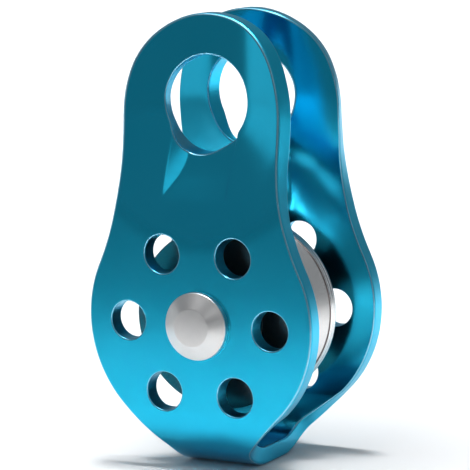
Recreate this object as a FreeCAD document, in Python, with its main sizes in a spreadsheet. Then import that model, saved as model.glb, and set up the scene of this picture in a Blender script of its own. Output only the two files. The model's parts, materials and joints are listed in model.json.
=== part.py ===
import FreeCAD, Part
import math
import os
import Sketcher
from FreeCAD import Vector

# A small rope pulley with fixed cheeks. One aluminium strip is bent into a U: its two sides are
# the cheeks, its bottom is the web, and a bore through both cheeks is the eye for a carabiner.
# A grooved sheave turns on two ball bearings, on an axle that is riveted through the cheeks.
#
# The origin is the centre of the eye, halfway between the cheeks. Z points up, Y runs along the
# axle from the front cheek to the rear one, and X is across the pulley. Lengths are millimetres.

SIZES = {
    # the bent strip
    "strip_width": 64.0,
    "plate_thickness": 4.0,
    "cheek_span": 35.4,
    "web_bend_radius": 11.7,
    "eye_to_web": 81.0,
    "edge_round": 0.6,
    # the outline of a cheek
    "eye_to_axle": 48.3,
    "head_width": 38.2,
    "crown_radius": 18.4,
    "crown_lift": 0.5,
    "shoulder_radius": 29.6,
    "neck_radius": 60.0,
    "belly_radius": 27.5,
    "belly_lift": 0.5,
    "foot_slope": 46.0,
    "foot_radius": 6.0,
    "foot_width": 18.6,
    # the eye, and the trough pressed into each ear, which ends below the eye as half a cone
    "eye_diameter": 19.8,
    "eye_round": 0.3,
    "eye_sag": 4.0,
    "eye_sag_across": 1.0,
    "eye_sag_diameter": 14.6,
    "rim_span": 24.3,
    "trough_span": 23.0,
    "press_radius": 26.9,
    # the channel pressed below the eye
    "channel_width": 16.6,
    "channel_wall": 1.0,
    "channel_top": 3.3,
    "channel_drop": 21.8,
    "channel_run_out": 3.6,
    "channel_lip_span": 21.4,
    # lightening holes round the axle
    "small_hole_diameter": 8.5,
    "small_hole_circle": 35.0,
    "small_hole_chamfer": 0.4,
    "small_hole_count": 6,
    # the riveted axle
    "axle_diameter": 8.0,
    "rivet_diameter": 14.9,
    "rivet_side": 1.3,
    "rivet_height": 3.3,
    "rivet_crown": 8.2,
    # the sheave
    "sheave_diameter": 40.5,
    "sheave_width": 18.0,
    "sheave_shoulder": 9.0,
    "rim_land": 0.9,
    "groove_root": 27.2,
    "groove_radius": 5.0,
    "corner_cut": 0.3,
    # the ball bearings
    "bearing_diameter": 22.0,
    "bearing_width": 7.0,
    "outer_race_bore": 18.0,
    "inner_race_diameter": 12.0,
    "ball_circle": 15.0,
    "ball_diameter": 3.969,
    "ball_count": 7,
    "raceway_radius": 2.04,
    "cage_diameter": 16.2,
    "cage_bore": 13.8,
    "cage_width": 4.8,
    "pocket_radius": 2.05,
    "shield_bore": 12.4,
    "shield_thickness": 0.3,
    "shield_inset": 0.15,
    # the spacers on the axle
    "spacer_bore": 8.1,
    "spacer_diameter": 12.0,
    "ring_diameter": 11.4,
}

CLEAR = 90.0

doc = FreeCAD.newDocument("rope_pulley")
sheet = doc.addObject("Spreadsheet::Sheet", "sizes")
subparts = []


class Size:
    """A length with its number and the expression that binds it to the sheet."""

    def __init__(self, number, text):
        self.number = number
        self.text = text

    def join(self, sign, other, number):
        other_text = other.text if isinstance(other, Size) else str(other)
        return Size(number, "(" + self.text + " " + sign + " " + other_text + ")")

    def __add__(self, other):
        return self.join("+", other, self.number + plain(other))

    def __sub__(self, other):
        return self.join("-", other, self.number - plain(other))

    def __mul__(self, other):
        return self.join("*", other, self.number * plain(other))

    def __truediv__(self, other):
        return self.join("/", other, self.number / plain(other))

    def __neg__(self):
        return self * -1


def plain(value):
    """The number of a Size, or the number itself."""
    return value.number if isinstance(value, Size) else float(value)


def size(name):
    """The Size of one cell of the sheet."""
    return Size(SIZES[name], "sizes." + name)


def fill_sheet():
    """Write every driving dimension in the sheet, each cell with its alias."""
    for row, (name, value) in enumerate(SIZES.items(), start=1):
        sheet.set("A%d" % row, name)
        sheet.set("B%d" % row, str(value))
        sheet.setAlias("B%d" % row, name)
    doc.recompute()


# ---- sketches ---------------------------------------------------------------------------------

ORIGIN = (-1, 1)
ACROSS = -1
UPRIGHT = -2
START, END, MIDDLE = 1, 2, 3


def new_body(label):
    """A sub-part: its Label names its node and its file."""
    body = doc.addObject("PartDesign::Body", label)
    body.Label = label
    subparts.append(body)
    return body


def new_sketch(body, name, role):
    """A sketch on one of the body's own origin planes."""
    sketch = body.newObject("Sketcher::SketchObject", name)
    planes = [item for item in body.Origin.OriginFeatures if item.Role == role]
    sketch.AttachmentSupport = [(planes[0], "")]
    sketch.MapMode = "FlatFace"
    return sketch


def bind(sketch, constraint, value):
    """Add a constraint that measures something and tie it to the sheet."""
    index = sketch.addConstraint(Sketcher.Constraint(*constraint, plain(value)))
    if isinstance(value, Size):
        sketch.setExpression("Constraints[%d]" % index, value.text)


def place(sketch, piece, end, across, up):
    """Fix one point of a sketch; a zero is a point on the axis."""
    for axis, kind, value in ((UPRIGHT, "DistanceX", across), (ACROSS, "DistanceY", up)):
        if plain(value) == 0.0:
            sketch.addConstraint(Sketcher.Constraint("PointOnObject", piece, end, axis))
        else:
            bind(sketch, (kind, *ORIGIN, piece, end), value)


def tie(sketch, pairs, kind="Coincident"):
    """Join end points: (piece, end, piece, end)."""
    for pair in pairs:
        sketch.addConstraint(Sketcher.Constraint(kind, *pair))


def polygon(sketch, points):
    """A closed outline of straight sides through points given as pairs of Sizes."""
    spots = [Vector(plain(across), plain(up), 0) for across, up in points]
    sides = []
    for begin, finish in zip(spots, spots[1:] + spots[:1]):
        sides.append(sketch.addGeometry(Part.LineSegment(begin, finish)))
    following = sides[1:] + sides[:1]
    tie(sketch, [(one, END, other, START) for one, other in zip(sides, following)])
    for side, (across, up) in zip(sides, points):
        place(sketch, side, START, across, up)


def mirrored_polygon(sketch, points):
    """An outline and its mirror image across the upright axis."""
    polygon(sketch, points)
    polygon(sketch, [(-across, up) for across, up in points])


def circle(sketch, across, up, diameter):
    """A circle by its centre and diameter."""
    middle = Vector(plain(across), plain(up), 0)
    ring = sketch.addGeometry(Part.Circle(middle, Vector(0, 0, 1), plain(diameter) / 2))
    place(sketch, ring, MIDDLE, across, up)
    bind(sketch, ("Diameter", ring), diameter)


def arc(sketch, middle, radius, begin, finish):
    """An arc, anticlockwise between two angles in degrees."""
    round_line = Part.Circle(Vector(*middle, 0), Vector(0, 0, 1), radius)
    return sketch.addGeometry(Part.ArcOfCircle(round_line, math.radians(begin), math.radians(finish)))


def line(sketch, begin, finish):
    """A straight line between two (across, up) points."""
    return sketch.addGeometry(Part.LineSegment(Vector(*begin, 0), Vector(*finish, 0)))


# ---- features ---------------------------------------------------------------------------------


def through_all(body, name, sketch):
    """Cut a sketch through the whole body, both ways."""
    cut = body.newObject("PartDesign::Pocket", name)
    cut.Profile = sketch
    cut.SideType = "Symmetric"
    cut.Type = "Length"
    cut.Length = 2 * CLEAR
    return cut


def pad_both_ways(body, name, sketch, width):
    """Pad a sketch symmetrically to a width."""
    pad = body.newObject("PartDesign::Pad", name)
    pad.Profile = sketch
    pad.SideType = "Symmetric"
    pad.Length = plain(width)
    pad.setExpression("Length", width.text)
    return pad


def turn(body, kind, name, sketch):
    """Revolve or groove a YZ sketch about the Y axis, which is the sketch's own across axis."""
    turned = body.newObject("PartDesign::" + kind, name)
    turned.Profile = sketch
    turned.ReferenceAxis = (sketch, ["H_Axis"])
    turned.Angle = 360.0
    return turned


def on_axle(body, along=None):
    """Put a body whose own Y axis is the axle in its place."""
    drop = size("eye_to_axle")
    middle = plain(along) if along is not None else 0.0
    body.Placement = FreeCAD.Placement(Vector(0, middle, -drop.number), FreeCAD.Rotation())
    body.setExpression("Placement.Base.z", (-drop).text)
    if along is not None:
        body.setExpression("Placement.Base.y", along.text)


# ---- the bent strip ---------------------------------------------------------------------------


def bent_strip(body):
    """The strip of plate, bent into a U."""
    thickness = size("plate_thickness")
    middle = (size("cheek_span") - thickness) / 2
    bend = size("web_bend_radius")
    bottom = -(size("eye_to_web") - thickness / 2)
    top = size("head_width")
    side = middle.number
    floor = bottom.number
    radius = bend.number
    path = new_sketch(body, "strip_path", "YZ_Plane")
    front = line(path, (-side, top.number), (-side, floor + radius))
    front_bend = arc(path, (radius - side, floor + radius), radius, 180, 270)
    web = line(path, (radius - side, floor), (side - radius, floor))
    rear_bend = arc(path, (side - radius, floor + radius), radius, 270, 360)
    rear = line(path, (side, floor + radius), (side, top.number))
    tie(path, [(front, END, front_bend, START), (front_bend, END, web, START)], "Tangent")
    tie(path, [(web, END, rear_bend, START), (rear_bend, END, rear, START)], "Tangent")
    tie(path, [(front,), (rear,)], "Vertical")
    tie(path, [(web,)], "Horizontal")
    place(path, front, START, -middle, top)
    place(path, rear, END, middle, top)
    bind(path, ("Radius", front_bend), bend)
    bind(path, ("Radius", rear_bend), bend)
    bind(path, ("DistanceY", *ORIGIN, web, START), bottom)

    section = new_sketch(body, "strip_section", "XY_Plane")
    section.AttachmentOffset = FreeCAD.Placement(Vector(0, 0, top.number), FreeCAD.Rotation())
    section.setExpression("AttachmentOffset.Base.z", top.text)
    half = size("strip_width") / 2
    outside = -(middle + thickness / 2)
    inside = -(middle - thickness / 2)
    polygon(section, [(-half, outside), (half, outside), (half, inside), (-half, inside)])

    strip = body.newObject("PartDesign::AdditivePipe", "bent_strip")
    strip.Profile = section
    strip.Spine = (path, [])
    strip.Mode = "Binormal"
    strip.Binormal = Vector(1, 0, 0)


def ears(body):
    """Press the cheeks in at the top, thickness kept: build up the new walls, then clear the
    plate outside them."""
    for stage in ("wall", "hollow"):
        cone(body, stage)
        trough(body, stage)
        channel(body, stage)


def press_line():
    """The pressed face from the eye's axis outwards, as (half span, reach) pairs."""
    flat = size("cheek_span") / 2
    rim = size("rim_span") / 2
    floor = size("trough_span") / 2
    eye = size("eye_diameter") / 2
    edge = size("press_radius")
    crease = eye - (rim - floor) * (edge - eye) / (flat - rim)
    return [(floor, Size(0.0, "0")), (floor, crease), (flat, edge)]


def cone(body, stage):
    """A shallow cone round the eye's axis."""
    thickness = size("plate_thickness")
    line = press_line()
    sketch = new_sketch(body, "cone_%s_section" % stage, "YZ_Plane")
    if stage == "wall":
        mirrored_polygon(sketch, line + [(along - thickness, reach) for along, reach in reversed(line)])
        turn(body, "Revolution", "cone_wall", sketch)
    else:
        far = size("cheek_span") / 2 + CLEAR / 3
        mirrored_polygon(sketch, line + [(far, line[-1][1]), (far, line[0][1])])
        turn(body, "Groove", "cone_hollow", sketch)


def trough(body, stage):
    """A straight trough of the same section, upwards from the eye's axis."""
    thickness = size("plate_thickness")
    right = [(reach, along) for along, reach in press_line()[1:]]
    line = [(-across, along) for across, along in reversed(right)] + right
    edge = right[-1][0]
    far = size("cheek_span") / 2 + CLEAR / 3
    if stage == "wall":
        points = line + [(across, along - thickness) for across, along in reversed(line)]
    else:
        points = line + [(edge, far), (-edge, far)]
    sketch = new_sketch(body, "trough_%s_section" % stage, "XY_Plane")
    polygon(sketch, points)
    polygon(sketch, [(across, -along) for across, along in points])
    upward = body.newObject("PartDesign::" + ("Pad" if stage == "wall" else "Pocket"), "trough_" + stage)
    upward.Profile = sketch
    upward.Reversed = stage == "hollow"
    upward.Length = SIZES["head_width"]
    upward.setExpression("Length", "sizes.head_width")


def channel(body, stage):
    """The flat-bottomed channel pressed from the cone's flank up into the eye."""
    thickness = size("plate_thickness")
    rim = size("rim_span") / 2
    eye = size("eye_diameter") / 2
    slope = (size("cheek_span") / 2 - rim) / (size("press_radius") - eye)
    drop = size("channel_drop")
    run_out = size("channel_run_out")
    lip_side = size("channel_lip_span") / 2
    low_side = rim + slope * (drop - eye)
    end_side = low_side + (low_side - lip_side) * run_out / (drop - eye)
    end = -(drop + run_out)
    high = -size("channel_top")
    floor = [(end_side, end), (lip_side, -eye), (lip_side, high)]
    width = size("channel_width")
    sketch = new_sketch(body, "channel_%s_section" % stage, "YZ_Plane")
    if stage == "wall":
        back = lip_side - thickness
        mirrored_polygon(sketch, floor + [(back, high), (back, -eye), (end_side - thickness * 0.75, end)])
        pad_both_ways(body, "channel_wall", sketch, width + size("channel_wall") * 2)
    else:
        far = size("cheek_span") / 2 + thickness
        mirrored_polygon(sketch, floor + [(far, high), (far, end)])
        hollow = body.newObject("PartDesign::Pocket", "channel_hollow")
        hollow.Profile = sketch
        hollow.SideType = "Symmetric"
        hollow.Length = width.number
        hollow.setExpression("Length", width.text)


def outline(body):
    """Trim the strip to the cheek's outline: round head, concave neck, round belly, narrow foot."""
    half_head = size("head_width") / 2
    crown = size("crown_radius")
    shoulder = size("shoulder_radius")
    neck = size("neck_radius")
    belly = size("belly_radius")
    foot = size("foot_radius")
    half_foot = size("foot_width") / 2
    crown_z = size("crown_lift")
    belly_z = size("belly_lift") - size("eye_to_axle")
    slope = math.radians(SIZES["foot_slope"])
    inset = half_head.number - shoulder.number
    shoulder_z = crown_z.number - math.sqrt((shoulder.number - crown.number) ** 2 - inset ** 2)
    crown_angle = math.degrees(math.atan2(crown_z.number - shoulder_z, -inset))
    neck_x = half_head.number + neck.number
    neck_rise = math.sqrt((neck.number + belly.number) ** 2 - neck_x ** 2)
    neck_z = belly_z.number + neck_rise
    neck_angle = math.degrees(math.atan2(neck_rise, neck_x))
    foot_x = half_foot.number + foot.number
    foot_z = belly_z.number - (belly.number + foot.number) / math.cos(slope) + foot_x * math.tan(slope)
    low = -CLEAR
    tangent = (belly.number * math.sin(slope), belly_z.number - belly.number * math.cos(slope))
    knee = (foot_x - foot.number * math.sin(slope), foot_z + foot.number * math.cos(slope))

    sketch = new_sketch(body, "cheek_outline", "XZ_Plane")
    crown_arc = arc(sketch, (0, crown_z.number), crown.number, crown_angle, 180 - crown_angle)
    place(sketch, crown_arc, MIDDLE, 0, crown_z)
    bind(sketch, ("Radius", crown_arc), crown)
    legs = []
    for hand in (1, -1):
        first, last = (START, END) if hand > 0 else (END, START)

        def side_arc(across, up, radius, begin, finish):
            turned = (begin, finish) if hand > 0 else (180 - finish, 180 - begin)
            return arc(sketch, (hand * across, up), radius.number, *turned)

        shoulder_arc = side_arc(inset, shoulder_z, shoulder, 0, crown_angle)
        side = line(sketch, (hand * half_head.number, shoulder_z), (hand * half_head.number, neck_z))
        neck_arc = side_arc(neck_x, neck_z, neck, 180, 180 + neck_angle)
        belly_arc = side_arc(0, belly_z.number, belly, SIZES["foot_slope"] - 90, neck_angle)
        flank = line(sketch, (hand * tangent[0], tangent[1]), (hand * knee[0], knee[1]))
        foot_arc = side_arc(foot_x, foot_z, foot, 90 + SIZES["foot_slope"], 180)
        leg = line(sketch, (hand * half_foot.number, foot_z), (hand * half_foot.number, low))
        tie(sketch, [(crown_arc, first, shoulder_arc, last), (shoulder_arc, first, side, START),
                     (side, END, neck_arc, first), (neck_arc, last, belly_arc, last),
                     (belly_arc, first, flank, START), (flank, END, foot_arc, first),
                     (foot_arc, last, leg, START)], "Tangent")
        tie(sketch, [(side,), (leg,)], "Vertical")
        place(sketch, belly_arc, MIDDLE, 0, belly_z)
        for piece, radius in ((shoulder_arc, shoulder), (neck_arc, neck), (belly_arc, belly),
                              (foot_arc, foot)):
            bind(sketch, ("Radius", piece), radius)
        bind(sketch, ("DistanceX", *ORIGIN, side, START), half_head * hand)
        bind(sketch, ("DistanceX", *ORIGIN, leg, END), half_foot * hand)
        bind(sketch, ("DistanceY", *ORIGIN, leg, END), low)
        bind(sketch, ("DistanceX", *ORIGIN, flank, START), belly * hand * round(math.sin(slope), 9))
        legs.append(leg)
    base = line(sketch, (half_foot.number, low), (-half_foot.number, low))
    tie(sketch, [(legs[0], END, base, START), (legs[1], END, base, END)])
    far = CLEAR * 1.1
    polygon(sketch, [(-CLEAR, -far), (CLEAR, -far), (CLEAR, CLEAR), (-CLEAR, CLEAR)])
    through_all(body, "outside_of_outline", sketch)


def holes(body):
    """The eye, the axle's hole and the lightening holes round it."""
    axle_z = -size("eye_to_axle")
    eye = new_sketch(body, "eye_circle", "XZ_Plane")
    circle(eye, 0, 0, size("eye_diameter"))
    through_all(body, "eye", eye)
    sag = new_sketch(body, "eye_sag_circle", "XZ_Plane")
    circle(sag, -size("eye_sag_across"), -size("eye_sag"), size("eye_sag_diameter"))
    through_all(body, "eye_sag", sag)
    axle = new_sketch(body, "axle_circle", "XZ_Plane")
    circle(axle, 0, axle_z, size("axle_diameter"))
    through_all(body, "axle_hole", axle)
    small = new_sketch(body, "small_hole_circles", "XZ_Plane")
    for across, up in small_hole_spots():
        circle(small, across, up, size("small_hole_diameter"))
    through_all(body, "small_holes", small)


def small_hole_spots():
    """The lightening holes' places, as (across, up) from the eye."""
    reach = size("small_hole_circle") / 2
    for number in range(SIZES["small_hole_count"]):
        angle = 2 * math.pi * number / SIZES["small_hole_count"]
        yield reach * round(math.cos(angle), 9), reach * round(math.sin(angle), 9) - size("eye_to_axle")


def countersinks(body):
    """Break the outer rim of each lightening hole with a shallow cone."""
    depth = size("small_hole_chamfer")
    for side, hand in (("front", -1), ("rear", 1)):
        sketch = new_sketch(body, side + "_rim_circles", "XZ_Plane")
        face = size("cheek_span") / 2 * hand
        sketch.AttachmentOffset = FreeCAD.Placement(Vector(0, 0, -face.number), FreeCAD.Rotation())
        sketch.setExpression("AttachmentOffset.Base.z", (-face).text)
        for across, up in small_hole_spots():
            circle(sketch, across, up, size("small_hole_diameter") + depth * 2)
        cone = body.newObject("PartDesign::Pocket", side + "_countersinks")
        cone.Profile = sketch
        cone.Reversed = hand > 0
        cone.Length = depth.number
        cone.setExpression("Length", depth.text)
        cone.TaperAngle = -45.0


def crosses_plate(face):
    """Whether a face runs square through the plate, as the walls cut by an outline do."""
    low, high, left, right = face.ParameterRange
    normal = face.normalAt((low + high) / 2, (left + right) / 2)
    on_web = face.CenterOfMass.z < size("web_bend_radius").number - SIZES["eye_to_web"]
    return abs(normal.y) < 1e-6 and not (on_web and abs(normal.z) > 0.999)


def wall_edges(shape, wanted):
    """The edges where a wanted wall meets the cheeks' surfaces or the web's."""
    edges = []
    for edge in shape.Edges:
        faces = shape.ancestorsOfType(edge, Part.Face)
        walls = [face for face in faces if crosses_plate(face)]
        if len(walls) == 1 and len(faces) == 2 and wanted(edge, walls[0]):
            edges.append(edge)
    return edges


def edge_names(shape, edges):
    """The names that a shape gives to edges found in it."""
    middles = [edge.CenterOfMass for edge in edges]
    names = []
    for number, edge in enumerate(shape.Edges, start=1):
        if any((edge.CenterOfMass - middle).Length < 1e-5 for middle in middles):
            names.append("Edge%d" % number)
    return names


def is_bore(wall, diameter):
    """Whether a wall is a hole of this diameter."""
    surface = wall.Surface
    return isinstance(surface, Part.Cylinder) and abs(2 * surface.Radius - diameter) < 1e-3


def outer_outline(shape):
    """The loop of edges round the outside of the plate: the longer of its two outlines."""
    reach = SIZES["channel_width"] / 2 + SIZES["plate_thickness"]
    named = ("eye_diameter", "eye_sag_diameter", "axle_diameter", "small_hole_diameter")
    bores = [SIZES[name] for name in named]

    def on_outline(edge, wall):
        middle = wall.CenterOfMass
        in_channel = abs(middle.x) < reach and -SIZES["channel_drop"] < middle.z < -1
        return not in_channel and not any(is_bore(wall, bore) for bore in bores)

    loops = Part.sortEdges(wall_edges(shape, on_outline))
    return max(loops, key=lambda loop: sum(edge.Length for edge in loop))


def eye_rims(shape):
    """The round edges of the eye on the outside of each cheek."""
    least = SIZES["rim_span"] / 2 - 0.1

    def on_rim(edge, wall):
        return is_bore(wall, SIZES["eye_diameter"]) and abs(edge.CenterOfMass.y) > least

    return wall_edges(shape, on_rim)


def finish_edges(body):
    """Round the plate's outer outline and the eye's outer rims."""
    for name, find in (("edge_round", outer_outline), ("eye_round", eye_rims)):
        doc.recompute()
        before = body.Tip
        fillet = body.newObject("PartDesign::Fillet", name + "_fillet")
        fillet.Base = (before, edge_names(before.Shape, find(before.Shape)))
        fillet.Radius = SIZES[name]
        fillet.setExpression("Radius", "sizes." + name)


def make_frame():
    """Both cheeks and the web, one bent and pressed plate."""
    body = new_body("frame")
    bent_strip(body)
    ears(body)
    outline(body)
    holes(body)
    countersinks(body)
    finish_edges(body)


# ---- turned parts -----------------------------------------------------------------------------


def make_axle():
    """The axle: a plain shank with a stepped rivet head at each end."""
    body = new_body("axle_rivet")
    sketch = new_sketch(body, "axle_section", "YZ_Plane")
    face = size("cheek_span") / 2
    side = face + size("rivet_side")
    crown = face + size("rivet_height")
    shank = size("axle_diameter") / 2
    flange = size("rivet_diameter") / 2
    top = size("rivet_crown") / 2
    zero = Size(0.0, "0")
    corner = size("corner_cut") / 2
    right = [(face, shank), (face, flange), (side - corner, flange), (side, flange - corner),
             (crown, top), (crown, zero)]
    left = [(-along, across) for along, across in reversed(right)]
    polygon(sketch, right + left)
    turn(body, "Revolution", "axle_turned", sketch)
    on_axle(body)


def make_sheave():
    """The sheave: a bored drum with an inner shoulder and a round-bottomed rope groove."""
    body = new_body("sheave")
    half = size("sheave_width") / 2
    seat = half - size("bearing_width")
    bore = size("bearing_diameter") / 2
    shoulder = size("sheave_shoulder")
    rim = size("sheave_diameter") / 2
    corner = size("corner_cut")
    sketch = new_sketch(body, "sheave_section", "YZ_Plane")
    right = [(seat, shoulder), (seat, bore), (half, bore), (half, rim - corner), (half - corner, rim)]
    left = [(-along, across) for along, across in reversed(right)]
    polygon(sketch, right + left)
    turn(body, "Revolution", "sheave_drum", sketch)

    groove = new_sketch(body, "groove_section", "YZ_Plane")
    mouth = half - size("rim_land")
    radius = size("groove_radius")
    middle = size("groove_root") / 2 + radius
    high = rim + radius
    depth = rim.number - middle.number
    lean = math.atan2(depth, mouth.number) - math.acos(radius.number / math.hypot(mouth.number, depth))
    touch = (radius.number * math.cos(lean), middle.number + radius.number * math.sin(lean))
    turned = math.degrees(lean)
    root = arc(groove, (0, middle.number), radius.number, 180 - turned, 360 + turned)
    wall_right = line(groove, touch, (mouth.number, rim.number))
    wall_left = line(groove, (-touch[0], touch[1]), (-mouth.number, rim.number))
    rise_right = line(groove, (mouth.number, rim.number), (mouth.number, high.number))
    rise_left = line(groove, (-mouth.number, rim.number), (-mouth.number, high.number))
    lid = line(groove, (-mouth.number, high.number), (mouth.number, high.number))
    tie(groove, [(wall_right, START, root, END), (wall_left, START, root, START)], "Tangent")
    tie(groove, [(wall_right, END, rise_right, START), (wall_left, END, rise_left, START),
                 (rise_left, END, lid, START), (rise_right, END, lid, END)])
    bind(groove, ("Radius", root), radius)
    place(groove, root, MIDDLE, 0, middle)
    place(groove, rise_right, START, mouth, rim)
    place(groove, rise_left, START, -mouth, rim)
    place(groove, rise_right, END, mouth, high)
    place(groove, rise_left, END, -mouth, high)
    turn(body, "Groove", "rope_groove", groove)
    on_axle(body)


def make_ring(label, bore, diameter, start, finish, along=None):
    """A plain turned ring on the axle, from start to finish along it."""
    body = new_body(label)
    sketch = new_sketch(body, label + "_section", "YZ_Plane")
    inner = bore / 2
    outer = diameter / 2
    polygon(sketch, [(start, inner), (finish, inner), (finish, outer), (start, outer)])
    turn(body, "Revolution", label + "_turned", sketch)
    on_axle(body, along)
    return body


def make_race(label, bore, diameter, along):
    """A bearing race: a ring with the balls' groove."""
    half = size("bearing_width") / 2
    body = make_ring(label, bore, diameter, -half, half, along)
    sketch = new_sketch(body, label + "_ball_track", "YZ_Plane")
    circle(sketch, 0, size("ball_circle") / 2, size("raceway_radius") * 2)
    turn(body, "Groove", label + "_track", sketch)


def ball_spots():
    """The places of the balls round the axle, as (X, Z) from its centre line."""
    reach = size("ball_circle") / 2
    for number in range(SIZES["ball_count"]):
        angle = 2 * math.pi * number / SIZES["ball_count"]
        yield reach * round(math.sin(angle), 9), reach * round(math.cos(angle), 9)


def make_ball(label, across, along, up):
    """One loose ball."""
    ball = doc.addObject("Part::Sphere", label)
    ball.Label = label
    ball.Radius = SIZES["ball_diameter"] / 2
    ball.setExpression("Radius", "sizes.ball_diameter / 2")
    height = up - size("eye_to_axle")
    ball.Placement = FreeCAD.Placement(Vector(across.number, along.number, height.number),
                                       FreeCAD.Rotation())
    for axis, value in (("x", across), ("y", along), ("z", height)):
        ball.setExpression("Placement.Base." + axis, value.text)
    subparts.append(ball)


def make_cage(label, along):
    """The ring that keeps the balls apart, with a round pocket for each."""
    half = size("cage_width") / 2
    body = make_ring(label, size("cage_bore"), size("cage_diameter"), -half, half, along)
    for number, (across, up) in enumerate(ball_spots(), start=1):
        pocket = body.newObject("PartDesign::SubtractiveSphere", "%s_pocket_%d" % (label, number))
        pocket.Radius = SIZES["pocket_radius"]
        pocket.setExpression("Radius", "sizes.pocket_radius")
        pocket.Placement = FreeCAD.Placement(Vector(across.number, 0, up.number), FreeCAD.Rotation())
        pocket.setExpression("Placement.Base.x", across.text)
        pocket.setExpression("Placement.Base.z", up.text)


def make_bearing(side, hand):
    """One shielded ball bearing; hand is -1 at the front and 1 at the rear."""
    half = size("bearing_width") / 2
    along = (size("sheave_width") / 2 - half) * hand
    name = side + "_bearing_"
    make_race(name + "outer_race", size("outer_race_bore"), size("bearing_diameter"), along)
    make_race(name + "inner_race", size("axle_diameter"), size("inner_race_diameter"), along)
    make_cage(name + "cage", along)
    for number, (across, up) in enumerate(ball_spots(), start=1):
        make_ball("%sball_%d" % (name, number), across, along, up)
    outer = half - size("shield_inset")
    inner = outer - size("shield_thickness")
    for place_name, way in (("outside", hand), ("inside", -hand)):
        make_ring(name + place_name + "_shield", size("shield_bore"), size("outer_race_bore"),
                  inner * way, outer * way, along)


def make_spacers():
    """The sleeves from each cheek to its bearing and the ring between the bearings."""
    cheek = size("cheek_span") / 2 - size("plate_thickness")
    face = size("sheave_width") / 2
    seat = face - size("bearing_width")
    for side, hand in (("front", -1), ("rear", 1)):
        make_ring(side + "_spacer_sleeve", size("spacer_bore"), size("spacer_diameter"),
                  face * hand, cheek * hand)
    make_ring("centre_spacer_ring", size("spacer_bore"), size("ring_diameter"), -seat, seat)


def check_and_export():
    """Refuse to write anything unless every object and every sub-part is sound."""
    doc.recompute()
    failed = [item.Name for item in doc.Objects if {"Invalid", "Error"} & set(item.State)]
    if failed:
        raise RuntimeError("objects failed: " + ", ".join(failed))
    for subpart in subparts:
        shape = subpart.Shape
        if shape.isNull() or not shape.isValid() or len(shape.Solids) != 1:
            raise RuntimeError("bad shape: " + subpart.Label)
    os.makedirs("parts", exist_ok=True)
    for subpart in subparts:
        subpart.Shape.exportStep("parts/" + subpart.Label + ".step")


fill_sheet()
make_frame()
make_axle()
make_sheave()
make_spacers()
make_bearing("front", -1)
make_bearing("rear", 1)
check_and_export()
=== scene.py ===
import json
import math

import bpy
import numpy as np
from mathutils import Matrix, Vector
from mathutils.geometry import delaunay_2d_cdt


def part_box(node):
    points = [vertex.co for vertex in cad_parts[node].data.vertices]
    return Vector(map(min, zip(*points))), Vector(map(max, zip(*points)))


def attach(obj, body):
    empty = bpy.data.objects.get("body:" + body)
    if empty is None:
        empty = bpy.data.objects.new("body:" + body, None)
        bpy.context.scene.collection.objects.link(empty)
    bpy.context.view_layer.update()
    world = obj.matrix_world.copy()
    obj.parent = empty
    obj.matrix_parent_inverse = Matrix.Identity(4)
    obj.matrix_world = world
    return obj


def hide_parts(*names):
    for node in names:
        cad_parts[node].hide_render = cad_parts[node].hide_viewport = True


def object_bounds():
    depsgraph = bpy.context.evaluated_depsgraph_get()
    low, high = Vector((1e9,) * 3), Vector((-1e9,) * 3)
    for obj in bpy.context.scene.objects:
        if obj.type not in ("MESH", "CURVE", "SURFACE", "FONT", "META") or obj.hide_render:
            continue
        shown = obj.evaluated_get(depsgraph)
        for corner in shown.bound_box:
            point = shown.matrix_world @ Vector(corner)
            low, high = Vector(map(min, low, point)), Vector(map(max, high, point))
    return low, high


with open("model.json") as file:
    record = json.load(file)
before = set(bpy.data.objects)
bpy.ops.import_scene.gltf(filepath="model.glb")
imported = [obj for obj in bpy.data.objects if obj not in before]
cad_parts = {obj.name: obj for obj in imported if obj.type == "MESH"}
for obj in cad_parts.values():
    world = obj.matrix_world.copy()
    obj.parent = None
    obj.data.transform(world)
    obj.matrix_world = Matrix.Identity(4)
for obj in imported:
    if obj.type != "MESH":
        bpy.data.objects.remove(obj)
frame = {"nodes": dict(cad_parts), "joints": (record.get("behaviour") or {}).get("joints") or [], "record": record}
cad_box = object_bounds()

# The looks of a small rope pulley: one bent and pressed plate of blue anodised aluminium, a
# turned sheave, and an axle riveted through both cheeks. The row frame is used throughout: the
# origin is the centre of the eye, Z is up, and Y runs along the axle towards the rear cheek.
# Shapes are worked out in millimetres and scaled to metres as they are made.

MM = 0.001

record = frame["record"]
eye_mount = next(mount for mount in record["mounts"] if mount["name"] == "carabiner_eye")
spin = next(joint for joint in frame["joints"] if joint["name"] == "sheave_spin")
plate_low, plate_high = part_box("frame")
rivet_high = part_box("axle_rivet")[1]
sheave_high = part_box("sheave")[1]

AXLE_Z = spin["pos_m"][2] / MM

# the plate: PLATE is its thickness, SPAN half the distance over both cheeks
PLATE = 4.0
SPAN = plate_high.y / MM
WEB_Z = plate_low.z / MM
BEND = 13.7
BEND_Z = WEB_Z + BEND
WEB_FLAT = SPAN - BEND
BEND_END = BEND_Z - BEND * math.pi / 2
LAYOUT_END = BEND_END - WEB_FLAT

# its outline
CROWN = 18.4
CROWN_Z = plate_high.z / MM - CROWN
HEAD = 19.1
SHOULDER = 29.6
NECK = 60.0
BELLY = 27.5
BELLY_Z = AXLE_Z + 0.5
FOOT_SLOPE = 46.0
FOOT_ROUND = 6.0
FOOT = 9.3

# the roundings of the plate's edges, outside and inside
OUTLINE_ROUND = 0.6, 0.5
EYE_ROUND = 0.45, 0.45
HOLE_ROUND = 0.35, 0.25
SHANK_ROUND = 0.1, 0.1

# how far apart points are along the edges, and on the faces
STEP = 0.6
FACE_STEP = 0.75
CHANNEL_STEP = 0.3

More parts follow.
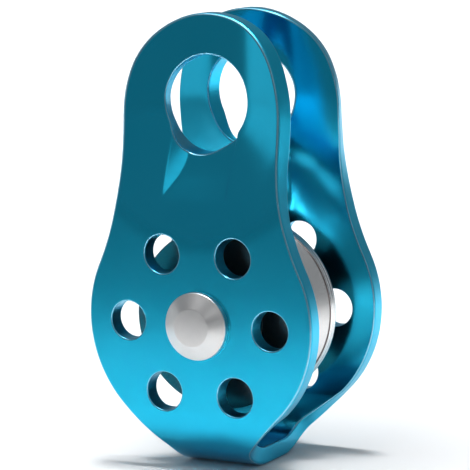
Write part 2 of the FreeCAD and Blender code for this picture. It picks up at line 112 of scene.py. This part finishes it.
# the eye, and the trough pressed into the ear, which ends below the eye as half a cone
EYE = eye_mount["dims"]["r_mm"]
EYE_SAG = 1.9
EYE_SAG_INSIDE = 0.4
EYE_SAG_ANGLE = math.radians(-117)
EYE_SAG_RIGHT = math.radians(55)
EYE_SAG_LEFT = math.radians(38)
EYE_FACE = 12.15
EAR_SLOPE = 0.326
EAR_FLOOR = 11.5
EAR_BLEND = 1.4
FLANK_BLEND = 2.0

# the channel pressed below the eye
CHANNEL_LOW = -22.0
CHANNEL_DEPTH = 1.48
CHANNEL_END_SLOPE = 0.19
CHANNEL_LEFT = -9.5
CHANNEL_LEFT_SLOPE = 0.33
CHANNEL_RIGHT = 6.4
CHANNEL_RIGHT_SLOPE = 1.6
CHANNEL_LEAN = 0.0054
CHANNEL_START = 4.0
CREASE_OUTSIDE = 0.16
CREASE_INSIDE = 1.6

# lightening holes round the axle
HOLE = 4.25
HOLE_CIRCLE = 17.5
HOLE_COUNT = 6

# the axle's shank and its heads: a thin flange, then a cone with a flat top
SHANK = 4.0
HEAD_FLANGE = 1.3
HEAD_TOP = 4.15

# the sheave: its bearing seats, the shoulder between them, and the arc of its groove
SEAT_DEPTH = 7.0
SEAT = 11.0
SEAT_SHOULDER = 9.0
GROOVE = 5.0
GROOVE_CENTRE = 18.6
GROOVE_STEPS = 32

# its rims: a sloping band each side of the groove, with a small step down to it
RIM_LAND = 1.7
RIM_SLOPE = 0.5
RIM_STEP = 0.4

# painted shade on the sheave's flanks and in the step inside each rim: a dark colour laid where shade falls
# between the cheeks
PAINTED_SHADE_METAL = (0.24, 0.20, 0.19)


# ---- the plate's shape ------------------------------------------------------------------------


def soft_min(one, other, blend):
    """The smaller of two values, rounded off where they meet."""
    near = np.maximum(blend - np.abs(one - other), 0.0) / blend
    return np.minimum(one, other) - near * near * blend / 4


def half_span(x, z):
    """How far a cheek's outer face is from the middle plane: flat, and pressed in at the ear."""
    reach = np.where(z > 0, np.abs(x), np.hypot(x, z))
    side = EYE_FACE + EAR_SLOPE * (reach - EYE)
    trough = -soft_min(-side, -EAR_FLOOR, EAR_BLEND)
    return soft_min(trough, SPAN, FLANK_BLEND)


def channel_depth(x, z, blend):
    """How deep the channel is pressed: a floor between a shallow wall and a steep one."""
    rise = np.maximum(z - CHANNEL_LOW, 0.0)
    lean = CHANNEL_LEAN * rise * rise
    floor = soft_min(CHANNEL_DEPTH, CHANNEL_END_SLOPE * (z - CHANNEL_LOW), 0.5)
    left = CHANNEL_LEFT_SLOPE * (x - CHANNEL_LEFT - lean)
    right = CHANNEL_RIGHT_SLOPE * (CHANNEL_RIGHT + lean - x)
    pressed = soft_min(soft_min(left, right, blend), floor, blend)
    pressed = -soft_min(-pressed, 0.0, blend)
    return pressed * np.clip(-z / CHANNEL_START, 0.0, 1.0)


def outer_face(x, v):
    """The front half's outer face before the channel, from its flat layout: v runs along it."""
    turned = np.clip((BEND_Z - v) / BEND, 0.0, math.pi / 2)
    past_bend = np.maximum(BEND_END - v, 0.0)
    bent = v < BEND_Z
    z = np.where(bent, BEND_Z - BEND * np.sin(turned), v)
    y = np.where(bent, WEB_FLAT + BEND * np.cos(turned) - past_bend, half_span(x, v))
    return np.stack([x, -y, z], axis=-1)


def tangents(surface, x, v):
    """Unit vectors across and along a surface of the layout."""
    reach = 0.01
    across = surface(x + reach, v) - surface(x - reach, v)
    along = surface(x, v + reach) - surface(x, v - reach)
    return unit(across), unit(along)


def unit(vectors):
    """The vectors at length one."""
    return vectors / np.linalg.norm(vectors, axis=-1, keepdims=True)


def plate_point(x, v, depth):
    """A point of the plate at a depth under its outer face."""
    normal = unit(np.cross(*tangents(outer_face, x, v)))
    blend = CREASE_OUTSIDE + (CREASE_INSIDE - CREASE_OUTSIDE) * depth / PLATE
    pressed = depth + channel_depth(x, v, blend)
    return outer_face(x, v) - normal * pressed[:, None]


# ---- its flat layout --------------------------------------------------------------------------


def arc(across, up, radius, start, finish):
    """Points along an arc between two angles in degrees, without the last one."""
    sweep = math.radians(finish - start)
    count = max(2, math.ceil(abs(sweep) * radius / STEP))
    angles = math.radians(start) + sweep * np.arange(count) / count
    return np.stack([across + radius * np.cos(angles), up + radius * np.sin(angles)], axis=1)


def straight(start, finish):
    """Points along a straight line, without the last one."""
    start, finish = np.array(start), np.array(finish)
    count = max(1, math.ceil(np.linalg.norm(finish - start) / STEP))
    return start + (finish - start) * (np.arange(count) / count)[:, None]


def outline():
    """The plate's edge in the layout, from the web's middle up the right side and down the left."""
    slope = math.radians(FOOT_SLOPE)
    foot_x = FOOT + FOOT_ROUND
    foot_z = BELLY_Z - (BELLY + FOOT_ROUND) / math.cos(slope) + foot_x * math.tan(slope)
    neck_x = HEAD + NECK
    neck_rise = math.sqrt((NECK + BELLY) ** 2 - neck_x ** 2)
    neck_z = BELLY_Z + neck_rise
    neck_angle = math.degrees(math.atan2(neck_rise, neck_x))
    shoulder_x = HEAD - SHOULDER
    shoulder_z = CROWN_Z - math.sqrt((SHOULDER - CROWN) ** 2 - shoulder_x ** 2)
    crown_angle = math.degrees(math.atan2(CROWN_Z - shoulder_z, -shoulder_x))
    knee = (foot_x - FOOT_ROUND * math.sin(slope), foot_z + FOOT_ROUND * math.cos(slope))
    tangent = (BELLY * math.sin(slope), BELLY_Z - BELLY * math.cos(slope))
    upright = np.concatenate([
        arc(foot_x, foot_z, FOOT_ROUND, 180, 90 + FOOT_SLOPE),
        straight(knee, tangent),
        arc(0, BELLY_Z, BELLY, FOOT_SLOPE - 90, neck_angle),
        arc(neck_x, neck_z, NECK, 180 + neck_angle, 180),
        straight((HEAD, neck_z), (HEAD, shoulder_z)),
        arc(shoulder_x, shoulder_z, SHOULDER, 0, crown_angle),
        arc(0, CROWN_Z, CROWN, crown_angle, 90),
    ])
    low = upright[:, 1] < BEND_Z
    upright[low, 1] = BEND_Z - BEND * np.arcsin((BEND_Z - upright[low, 1]) / BEND)
    leg = straight((FOOT, LAYOUT_END), tuple(upright[0]))
    right = np.concatenate([leg, upright])
    apex = np.array([[0.0, CROWN_Z + CROWN]])
    return np.concatenate([right, apex, right[::-1] * (-1, 1)])


def round_hole(x, z, radius, count):
    """A hole's edge, clockwise."""
    angles = -2 * math.pi * np.arange(count) / count
    return np.stack([x + radius * np.cos(angles), z + radius * np.sin(angles)], axis=1)


def eye_hole(sag, count=132):
    """The eye's edge, clockwise: round, and drawn down at the lower left."""
    angles = -2 * math.pi * np.arange(count) / count
    past = (angles - EYE_SAG_ANGLE + math.pi) % (2 * math.pi) - math.pi
    reach = np.where(past > 0, EYE_SAG_RIGHT, EYE_SAG_LEFT)
    radius = EYE + sag * np.maximum(1 - (past / reach) ** 2, 0.0) ** 2
    return np.stack([radius * np.cos(angles), radius * np.sin(angles)], axis=1)


class Layout:
    """Points of the plate's flat layout, and its faces."""

    def __init__(self):
        self.points = []
        self.faces = []

    def add(self, x, v, depth, turn=0.0, out_x=0.0, out_v=0.0):
        """A point; turn is how far its normal leans from the outer face's to the edge's."""
        self.points.append((x, v, depth, turn, out_x, out_v))
        return len(self.points) - 1

    def edge(self, loop, outer_round, inner_round, closed=True, inner_loop=None):
        """A rounded wall along a loop. Gives its points on the outer and on the inner face."""
        drift = 0.0 if inner_loop is None else (inner_loop - loop) / PLATE
        if closed:
            travel = np.roll(loop, -1, axis=0) - np.roll(loop, 1, axis=0)
        else:
            travel = np.gradient(loop, axis=0)
        travel = unit(travel)
        outward = np.stack([travel[:, 1], -travel[:, 0]], axis=1)
        rings = []
        for inset, depth, turn in edge_profile(outer_round, inner_round):
            spots = loop + drift * depth - outward * inset
            rings.append([self.add(*spot, depth, turn, *out) for spot, out in zip(spots, outward)])
        last = len(loop) if closed else len(loop) - 1
        for upper, lower in zip(rings, rings[1:]):
            for here in range(last):
                after = (here + 1) % len(loop)
                self.faces.append((upper[here], lower[here], lower[after], upper[after]))
        return rings[0], rings[-1]

    def fill(self, loops, depth, spacing, fine=None):
        """A face inside the first loop and outside the others."""
        turn = 0.0 if depth == 0.0 else math.pi
        corners = [np.array([self.points[index][:2] for index in loop]) for loop in loops]
        grid = inner_points(corners, spacing, fine)
        inside = [self.add(x, v, depth, turn) for x, v in grid]
        indices = [index for loop in loops for index in loop] + inside
        edges = []
        first = 0
        for loop in loops:
            edges += [(first + here, first + (here + 1) % len(loop)) for here in range(len(loop))]
            first += len(loop)
        spots = [Vector(self.points[index][:2]) for index in indices]
        made = delaunay_2d_cdt(spots, edges, [], 0, 1e-7)
        origin = [sources[0] for sources in made[3]]
        middles = np.array([[sum(made[0][corner][axis] for corner in face) / 3 for axis in (0, 1)]
                            for face in made[2]])
        for face, keep in zip(made[2], within(corners, middles)):
            if keep:
                corners_of = [indices[origin[corner]] for corner in face]
                self.faces.append(tuple(corners_of if depth == 0.0 else reversed(corners_of)))


def edge_profile(outer_round, inner_round):
    """Steps round the plate's edge: how far in from it, how deep, and the normal's lean."""
    steps = 6
    for number in range(steps + 1):
        turn = math.pi / 2 * number / steps
        yield outer_round * (1 - math.sin(turn)), outer_round * (1 - math.cos(turn)), turn
    for number in range(steps + 1):
        turn = math.pi / 2 * (1 + number / steps)
        yield inner_round * (1 - math.sin(turn)), PLATE - inner_round * (1 + math.cos(turn)), turn


def within(loops, spots):
    """Which spots lie inside an odd number of the loops."""
    odd = np.zeros(len(spots), bool)
    for loop in loops:
        after = np.roll(loop, -1, axis=0)
        for (x0, v0), (x1, v1) in zip(loop, after):
            if v0 == v1:
                continue
            crosses = (spots[:, 1] < v0) != (spots[:, 1] < v1)
            reach = x0 + (spots[:, 1] - v0) * (x1 - x0) / (v1 - v0)
            odd ^= crosses & (spots[:, 0] < reach)
    return odd


def inner_points(loops, spacing, fine):
    """A staggered grid inside the first loop, kept off every edge, and finer in one zone."""
    edge = np.concatenate(loops)
    low, high = edge.min(axis=0), edge.max(axis=0)
    grid = staggered(low, high, spacing)
    if fine is not None:
        (left, bottom), (right, top), near = fine
        zone = (grid[:, 0] > left) & (grid[:, 0] < right) & (grid[:, 1] > bottom) & (grid[:, 1] < top)
        grid = np.concatenate([grid[~zone], staggered((left, bottom), (right, top), near)])
    grid = grid[within(loops, grid)]
    clear = [np.min(np.hypot(*(edge - spot).T)) for spot in grid]
    return grid[np.array(clear) > STEP * 0.6]


def staggered(low, high, spacing):
    """Rows of points, every other row shifted by half a step."""
    rows = np.arange(low[1] + spacing / 2, high[1], spacing * 0.87)
    columns = np.arange(low[0] + spacing / 2, high[0], spacing)
    grid = [np.stack([columns + spacing / 2 * (number % 2), np.full(len(columns), row)], axis=1)
            for number, row in enumerate(rows)]
    return np.concatenate(grid)


def lay_out_plate():
    """The front half of the plate as a flat layout: rounded edges, then both faces."""
    layout = Layout()
    rims = [layout.edge(outline(), *OUTLINE_ROUND, closed=False),
            layout.edge(eye_hole(EYE_SAG), *EYE_ROUND, inner_loop=eye_hole(EYE_SAG_INSIDE))]
    for number in range(HOLE_COUNT):
        angle = 2 * math.pi * number / HOLE_COUNT
        spot = (HOLE_CIRCLE * math.cos(angle), AXLE_Z + HOLE_CIRCLE * math.sin(angle))
        rims.append(layout.edge(round_hole(*spot, HOLE, 60), *HOLE_ROUND))
    rims.append(layout.edge(round_hole(0, AXLE_Z, SHANK, 48), *SHANK_ROUND))
    channel_zone = ((CHANNEL_LEFT - 1.5, CHANNEL_LOW - 2.0), (CHANNEL_RIGHT + 1.5, -3.0),
                    CHANNEL_STEP)
    for side, depth in ((0, 0.0), (1, PLATE)):
        loops = [list(rim[side]) for rim in rims]
        right = layout.points[loops[0][0]][0]
        middle = np.linspace(-right, right, round(2 * right / STEP) + 1)[1:-1]
        turn = 0.0 if depth == 0.0 else math.pi
        loops[0] += [layout.add(x, LAYOUT_END, depth, turn) for x in middle]
        layout.fill(loops, depth, FACE_STEP, channel_zone if depth == 0.0 else None)
    return layout


def make_plate():
    """Bend and press the layout, mirror it to the rear, and make the whole plate's mesh."""
    layout = lay_out_plate()
    table = np.array(layout.points)
    x, v, depth, turn = table[:, 0], table[:, 1], table[:, 2], table[:, 3]
    place = plate_point(x, v, depth)
    across, along = tangents(lambda a, b: plate_point(a, b, depth), x, v)
    face = unit(np.cross(across, along))
    out = table[:, 4:5] * across + table[:, 5:6] * along
    normal = unit(np.cos(turn)[:, None] * face + np.sin(turn)[:, None] * out)

    shared = np.abs(v - LAYOUT_END) < 1e-6
    rear_index = np.arange(len(table))
    rear_index[~shared] = len(table) + np.arange(np.count_nonzero(~shared))
    flip = np.array([1.0, -1.0, 1.0])
    place[shared, 1] = 0.0
    places = np.concatenate([place, place[~shared] * flip])
    normals = np.concatenate([normal, normal[~shared] * flip])
    wall = np.concatenate([np.sin(turn), np.sin(turn)[~shared]])
    rear_faces = [tuple(int(rear_index[corner]) for corner in reversed(corners))
                  for corners in layout.faces]

    mesh = bpy.data.meshes.new("pressed_plate")
    mesh.from_pydata((places * MM).tolist(), [], layout.faces + rear_faces)
    mesh.polygons.foreach_set("use_smooth", np.ones(len(mesh.polygons), bool))
    mesh.attributes.new("edge", "FLOAT", "POINT").data.foreach_set("value", wall)
    mesh.update()
    mesh.normals_split_custom_set_from_vertices(normals.tolist())
    return add_object("pressed_plate", mesh)


def add_object(name, mesh):
    """A new object for a mesh, at the origin."""
    made = bpy.data.objects.new(name, mesh)
    bpy.context.scene.collection.objects.link(made)
    return made


# ---- turned parts -----------------------------------------------------------------------------


def rounded(profile, rounds):
    """A closed profile of (along, radius) corners, each rounded by its own radius."""
    points = []
    corners = [np.array(corner, float) for corner in profile]
    for number, (corner, size) in enumerate(zip(corners, rounds)):
        before = corners[number - 1]
        after = corners[(number + 1) % len(corners)]
        if size == 0:
            points.append(corner)
            continue
        back, ahead = unit(before - corner), unit(after - corner)
        half = math.acos(np.clip(back @ ahead, -1, 1)) / 2
        run = size / math.tan(half)
        start, finish = corner + back * run, corner + ahead * run
        centre = corner + unit(back + ahead) * size / math.sin(half)
        steps = max(2, round(math.degrees(math.pi - 2 * half) / 15))
        for step in range(steps + 1):
            chord = start + (finish - start) * step / steps
            points.append(centre + unit(chord - centre) * size)
    return points


def lathe(name, profile, segments=160):
    """Turn a closed profile of (along, radius) points, in millimetres, about the axle."""
    places, faces = [], []
    for segment in range(segments):
        angle = 2 * math.pi * segment / segments
        for along, radius in profile:
            place = (radius * math.sin(angle), along, AXLE_Z + radius * math.cos(angle))
            places.append([value * MM for value in place])
    count = len(profile)
    for segment in range(segments):
        here, there = segment * count, (segment + 1) % segments * count
        for number in range(count):
            after = (number + 1) % count
            faces.append((here + number, there + number, there + after, here + after))
    mesh = bpy.data.meshes.new(name)
    mesh.from_pydata(places, [], faces)
    mesh.polygons.foreach_set("use_smooth", np.ones(len(mesh.polygons), bool))
    mesh.set_sharp_from_angle(angle=math.radians(40))
    mesh.update()
    made = add_object(name, mesh)
    weighted = made.modifiers.new("flat_faces", "WEIGHTED_NORMAL")
    weighted.weight = 95
    weighted.keep_sharp = True
    return made


def make_rivet():
    """The axle with a head each side: a flat-topped cone on a thin flange."""
    flange = rivet_high.x / MM
    top = rivet_high.y / MM
    side = SPAN + HEAD_FLANGE
    head = [(SPAN, SHANK), (SPAN, flange), (side, flange), (top, HEAD_TOP), (top, 0.01)]
    rounds = [0, 0.12, 0.35, 0.5, 0]
    profile = head + [(-along, radius) for along, radius in reversed(head)]
    return lathe("headed_axle", rounded(profile, rounds + rounds[::-1]), 144)


def make_sheave():
    """The sheave: two bearing seats, an inner shoulder, and a deep groove for the rope."""
    half = sheave_high.y / MM
    rim = sheave_high.x / MM
    mouth = half - RIM_LAND
    lip = rim - RIM_SLOPE - RIM_STEP
    seat = half - SEAT_DEPTH
    depth = lip - GROOVE_CENTRE
    lean = math.atan2(depth, mouth) - math.acos(GROOVE / math.hypot(mouth, depth))
    inside = [(-half, SEAT), (-seat, SEAT), (-seat, SEAT_SHOULDER), (seat, SEAT_SHOULDER),
              (seat, SEAT), (half, SEAT)]
    rounds = [0.25, 0.1, 0.1, 0.1, 0.1, 0.25]
    edges = inside + [(half, rim), (mouth, rim - RIM_SLOPE), (mouth, lip)]
    rounds += [0.2, 0.1, 0]
    groove = []
    for step in range(GROOVE_STEPS + 1):
        angle = lean + (-math.pi - 2 * lean) * step / GROOVE_STEPS
        groove.append((GROOVE * math.cos(angle), GROOVE_CENTRE + GROOVE * math.sin(angle)))
    profile = edges + groove + [(-along, radius) for along, radius in edges[:-4:-1]]
    rounds += [0] * (len(groove) + 1) + [0.1, 0.2]
    return lathe("turned_sheave", rounded(profile, rounds), 220)


# ---- materials --------------------------------------------------------------------------------


class Shader:
    """A node material, built up from its principled shader."""

    def __init__(self, name):
        self.material = bpy.data.materials.new(name)
        self.material.use_nodes = True
        self.tree = self.material.node_tree
        self.principled = self.tree.nodes["Principled BSDF"]
        self.place = self.node("ShaderNodeTexCoord").outputs["Object"]

    def node(self, kind, **settings):
        made = self.tree.nodes.new(kind)
        for name, value in settings.items():
            setattr(made, name, value)
        return made

    def link(self, output, target):
        self.tree.links.new(output, target)

    def set(self, **values):
        for name, value in values.items():
            self.principled.inputs[name.replace("_", " ")].default_value = value

    def noise(self, scale, detail=3.0, stretch=(1, 1, 1)):
        mapping = self.node("ShaderNodeMapping")
        mapping.inputs["Scale"].default_value = stretch
        texture = self.node("ShaderNodeTexNoise")
        texture.inputs["Scale"].default_value = scale
        texture.inputs["Detail"].default_value = detail
        self.link(self.place, mapping.inputs["Vector"])
        self.link(mapping.outputs["Vector"], texture.inputs["Vector"])
        return texture.outputs["Fac"]

    def rings(self, pitch, wander=1.5):
        """Turning marks: rings about the axle, a pitch in metres apart."""
        mapping = self.node("ShaderNodeMapping")
        mapping.inputs["Location"].default_value = (0, 0, -AXLE_Z * MM)
        wave = self.node("ShaderNodeTexWave", wave_type="RINGS", rings_direction="Y")
        wave.inputs["Scale"].default_value = 2 * math.pi / (20 * pitch)
        wave.inputs["Distortion"].default_value = wander
        wave.inputs["Detail"].default_value = 3.0
        wave.inputs["Detail Scale"].default_value = 0.3
        self.link(self.place, mapping.inputs["Vector"])
        self.link(mapping.outputs["Vector"], wave.inputs["Vector"])
        return wave.outputs["Fac"]

    def beyond(self, reach):
        """One where the middle plane is further off than this many millimetres, or else nought."""
        parts = self.node("ShaderNodeSeparateXYZ")
        self.link(self.place, parts.inputs[0])
        away = self.calculate("ABSOLUTE", parts.outputs["Y"])
        return self.calculate("GREATER_THAN", away, reach * MM)

    def at_radius(self, radius, reach):
        """One within reach of a radius about the axle, in millimetres, or else nought."""
        mapping = self.node("ShaderNodeMapping")
        mapping.inputs["Location"].default_value = (0, 0, -AXLE_Z * MM)
        mapping.inputs["Scale"].default_value = (1, 0, 1)
        length = self.node("ShaderNodeVectorMath", operation="LENGTH")
        self.link(self.place, mapping.inputs["Vector"])
        self.link(mapping.outputs["Vector"], length.inputs[0])
        past = self.calculate("SUBTRACT", length.outputs["Value"], radius * MM)
        return self.calculate("LESS_THAN", self.calculate("ABSOLUTE", past), reach * MM)

    def ranged(self, value, low, high):
        """A value from 0 to 1 spread from low to high."""
        spread = self.node("ShaderNodeMapRange")
        spread.inputs["To Min"].default_value = low
        spread.inputs["To Max"].default_value = high
        self.link(value, spread.inputs["Value"])
        return spread.outputs["Result"]

    def blend(self, amount, one, other):
        """A mix of a colour, or a colour output, and another colour, by an amount from 0 to 1."""
        mix = self.node("ShaderNodeMixRGB")
        mix.inputs["Color2"].default_value = (*other, 1)
        self.link(amount, mix.inputs["Fac"])
        if isinstance(one, tuple):
            mix.inputs["Color1"].default_value = (*one, 1)
        else:
            self.link(one, mix.inputs["Color1"])
        return mix.outputs["Color"]

    def calculate(self, operation, one, other=0.0):
        """A sum of two values, each a number or an output."""
        total = self.node("ShaderNodeMath", operation=operation)
        for socket, value in zip(total.inputs, (one, other)):
            if isinstance(value, (int, float)):
                socket.default_value = value
            else:
                self.link(value, socket)
        return total.outputs[0]

    def bump(self, height, depth, strength=1.0):
        """Relief: the height's full range is a depth in metres."""
        relief = self.node("ShaderNodeBump")
        relief.inputs["Strength"].default_value = strength
        relief.inputs["Distance"].default_value = depth
        self.link(height, relief.inputs["Height"])
        self.link(relief.outputs["Normal"], self.principled.inputs["Normal"])


def anodised():
    """Bright-dipped blue anodising: a glossy face, satin walls, and corners paled between, partly by edge wear and
    partly as a painted highlight.
    """
    shader = Shader("blue_anodised")
    shader.set(Metallic=1.0, Coat_Weight=0.10, Coat_Roughness=0.12, Coat_IOR=1.5)
    wall = shader.node("ShaderNodeAttribute", attribute_name="edge").outputs["Fac"]
    # painted highlight: the fillets between face and wall are paled towards white, partly thin anodising at worn
    # edges and partly to whiten their shine
    corner = shader.calculate("MULTIPLY", wall, shader.calculate("SUBTRACT", 1.0, wall))
    wear_and_sheen = shader.calculate("POWER", shader.calculate("MULTIPLY", corner, 4.0), 3.0)
    tone = shader.blend(shader.noise(90.0, 2.0), (0.011, 0.445, 0.680), (0.018, 0.475, 0.715))
    tone = shader.blend(shader.calculate("MULTIPLY", wear_and_sheen, 0.5), tone, (0.55, 0.72, 0.80))
    shader.link(tone, shader.principled.inputs["Base Color"])
    gloss = shader.ranged(shader.noise(420.0, 4.0), 0.15, 0.21)
    satin = shader.calculate("ADD", shader.calculate("MULTIPLY", wall, 0.16), gloss)
    shader.link(satin, shader.principled.inputs["Roughness"])
    coarse = shader.calculate("ADD", shader.calculate("MULTIPLY", wall, 5.0), 1.0)
    grain = shader.noise(2600.0, 3.0, (1, 1, 0.4))
    shader.bump(shader.calculate("MULTIPLY", grain, coarse), 0.0000012)
    return shader.material


def turned_metal(name, colour, rough, pitch, cut, shade_places=None):
    """Bare turned metal: fine rings about the axle over a faint mottle, and painted shade where it says."""
    shader = Shader(name)
    shader.set(Metallic=1.0)
    light = tuple(min(1.0, part * 1.06) for part in colour)
    tone = shader.blend(shader.noise(700.0, 3.0), colour, light)
    if shade_places is not None:
        # painted shade: each of these places is darkened to the shade colour
        for place in shade_places(shader):
            tone = shader.blend(place, tone, PAINTED_SHADE_METAL)
    shader.link(tone, shader.principled.inputs["Base Color"])
    marks = shader.rings(pitch)
    mottle = shader.noise(1600.0, 4.0)
    wear_and_sheen = shader.ranged(shader.calculate("MULTIPLY", marks, mottle), rough * 0.85, rough * 1.2)
    shader.link(wear_and_sheen, shader.principled.inputs["Roughness"])
    shader.bump(shader.calculate("ADD", marks, mottle), cut)
    return shader.material


def painted_shade_on_sheave(shader):
    """Where shade is painted on the sheave: its flanks, which sit between the cheeks, and the step inside each
    rim.
    """
    step = sheave_high.x / MM - RIM_SLOPE - RIM_STEP / 2
    return shader.beyond(sheave_high.y / MM - 0.05), shader.at_radius(step, RIM_STEP * 0.45)


def plain_metal(name, colour, rough):
    """Ground or pressed metal with a fine even grain."""
    shader = Shader(name)
    shader.set(Metallic=1.0)
    dark = tuple(part * 0.92 for part in colour)
    shader.link(shader.blend(shader.noise(900.0), dark, colour), shader.principled.inputs["Base Color"])
    shader.link(shader.ranged(shader.noise(2200.0, 4.0), rough * 0.8, rough * 1.2),
                shader.principled.inputs["Roughness"])
    shader.bump(shader.noise(5200.0), 0.000001)
    return shader.material


def cage_polymer():
    """Dark moulded polymer with a faint grain."""
    shader = Shader("dark_polymer")
    shader.link(shader.blend(shader.noise(800.0), (0.030, 0.022, 0.016), (0.050, 0.038, 0.028)),
                shader.principled.inputs["Base Color"])
    shader.link(shader.ranged(shader.noise(1500.0), 0.45, 0.6), shader.principled.inputs["Roughness"])
    shader.bump(shader.noise(3500.0), 0.000004)
    return shader.material


def dress(thing, material):
    """Give an object this material alone."""
    if not thing.material_slots:
        thing.data.materials.append(material)
    for slot in thing.material_slots:
        slot.material = material


# ---- floor, light and camera ------------------------------------------------------------------


def make_floor():
    """A wide, plain, pale floor just under the pulley's foot."""
    reach = 6.0
    level = cad_box[0].z - 0.0001
    corners = [(-reach, -reach, level), (reach, -reach, level), (reach, reach, level),
               (-reach, reach, level)]
    mesh = bpy.data.meshes.new("floor")
    mesh.from_pydata(corners, [], [(0, 1, 2, 3)])
    floor = add_object("floor", mesh)
    shader = Shader("pale_floor")
    shader.set(Base_Color=(0.86, 0.865, 0.87, 1), Roughness=0.9, Specular_IOR_Level=0.1)
    dress(floor, shader.material)


def make_light(name, place, size, power, spread=180, target=None):
    """A softbox, not seen by the camera. It shines straight down unless it has a target."""
    light = bpy.data.lights.new(name, "AREA")
    light.spread = math.radians(spread)
    light.shape = "RECTANGLE"
    light.size, light.size_y = size
    light.energy = power
    made = bpy.data.objects.new(name, light)
    made.location = place
    aim = Vector((0, 0, -1)) if target is None else Vector(target) - Vector(place)
    made.rotation_mode = "QUATERNION"
    made.rotation_quaternion = aim.to_track_quat("-Z", "Y")
    made.visible_camera = False
    bpy.context.scene.collection.objects.link(made)


def make_lights():
    """Wide softboxes that show in the metal, narrow ones for the floor, and a dim grey room."""
    centre = (0, 0, 0)
    make_light("overhead", (-0.04, -0.09, 0.22), (0.20, 0.18), 0.20)
    make_light("table", (-0.03, -0.09, 0.25), (0.22, 0.14), 0.080, spread=18)
    make_light("left", (-0.42, -0.16, 0.0), (0.24, 0.12), 0.048, target=centre)
    make_light("near_left", (-0.10, 0.03, 0.2), (0.12, 0.08), 0.02, spread=18)
    make_light("front_top", (0.205, -0.508, 0.21), (0.10, 0.09), 0.028, target=centre)
    make_light("side", (0.18, 0.0, 0.25), (0.22, 0.38), 0.17, spread=22)
    make_light("behind", (-0.55, 1.19, 1.0), (2.2, 2.34), 22.0, spread=20)
    world = bpy.data.worlds.new("dim_room")
    world.use_nodes = True
    background = world.node_tree.nodes["Background"]
    background.inputs["Color"].default_value = (0.9, 0.95, 1.0, 1)
    background.inputs["Strength"].default_value = 0.26
    bpy.context.scene.world = world


def make_camera():
    """The camera: its direction from the pulley, its roll, and a long lens."""
    azimuth, elevation, roll = (math.radians(angle) for angle in (28.613, 8.595, -1.058))
    back = Vector((math.sin(azimuth) * math.cos(elevation), -math.cos(azimuth) * math.cos(elevation),
                   math.sin(elevation)))
    level = Vector((math.cos(azimuth), math.sin(azimuth), 0))
    above = back.cross(level)
    right = level * math.cos(roll) + above * math.sin(roll)
    up = above * math.cos(roll) - level * math.sin(roll)
    distance, across, drop = 545.504, 0.434, 17.174
    spot = back * distance - right * across + up * drop + Vector((0, 0, AXLE_Z))
    data = bpy.data.cameras.new("camera")
    data.sensor_width = 36.0
    data.lens = 187.79
    camera = bpy.data.objects.new("camera", data)
    turned = Matrix((right, up, back)).transposed()
    camera.matrix_world = Matrix.Translation(spot * MM) @ turned.to_4x4()
    bpy.context.scene.collection.objects.link(camera)
    bpy.context.scene.camera = camera


# ---- the scene --------------------------------------------------------------------------------


def show(piece, node, body, material):
    """Put a piece in the place of a CAD node."""
    dress(piece, material)
    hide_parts(node)
    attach(piece, body)


show(make_plate(), "frame", "frame_and_axle", anodised())
show(make_rivet(), "axle_rivet", "frame_and_axle",
     turned_metal("satin_stainless", (0.74, 0.725, 0.715), 0.36, 0.00022, 0.0000014))
show(make_sheave(), "sheave", "rolling_sheave",
     turned_metal("turned_aluminium", (0.80, 0.79, 0.78), 0.30, 0.00018, 0.000001,
                  painted_shade_on_sheave))

spacer = turned_metal("turned_steel", (0.60, 0.60, 0.59), 0.32, 0.00018, 0.000001)
bearing = plain_metal("ground_steel", (0.70, 0.70, 0.71), 0.16)
shield = plain_metal("pressed_steel", (0.62, 0.62, 0.62), 0.30)
cage = cage_polymer()
for node, thing in frame["nodes"].items():
    if "spacer" in node:
        dress(thing, spacer)
    elif "shield" in node:
        dress(thing, shield)
    elif "cage" in node:
        dress(thing, cage)
    elif "bearing" in node:
        dress(thing, bearing)

make_floor()
make_lights()
make_camera()
bpy.context.scene.view_settings.view_transform = "Standard"
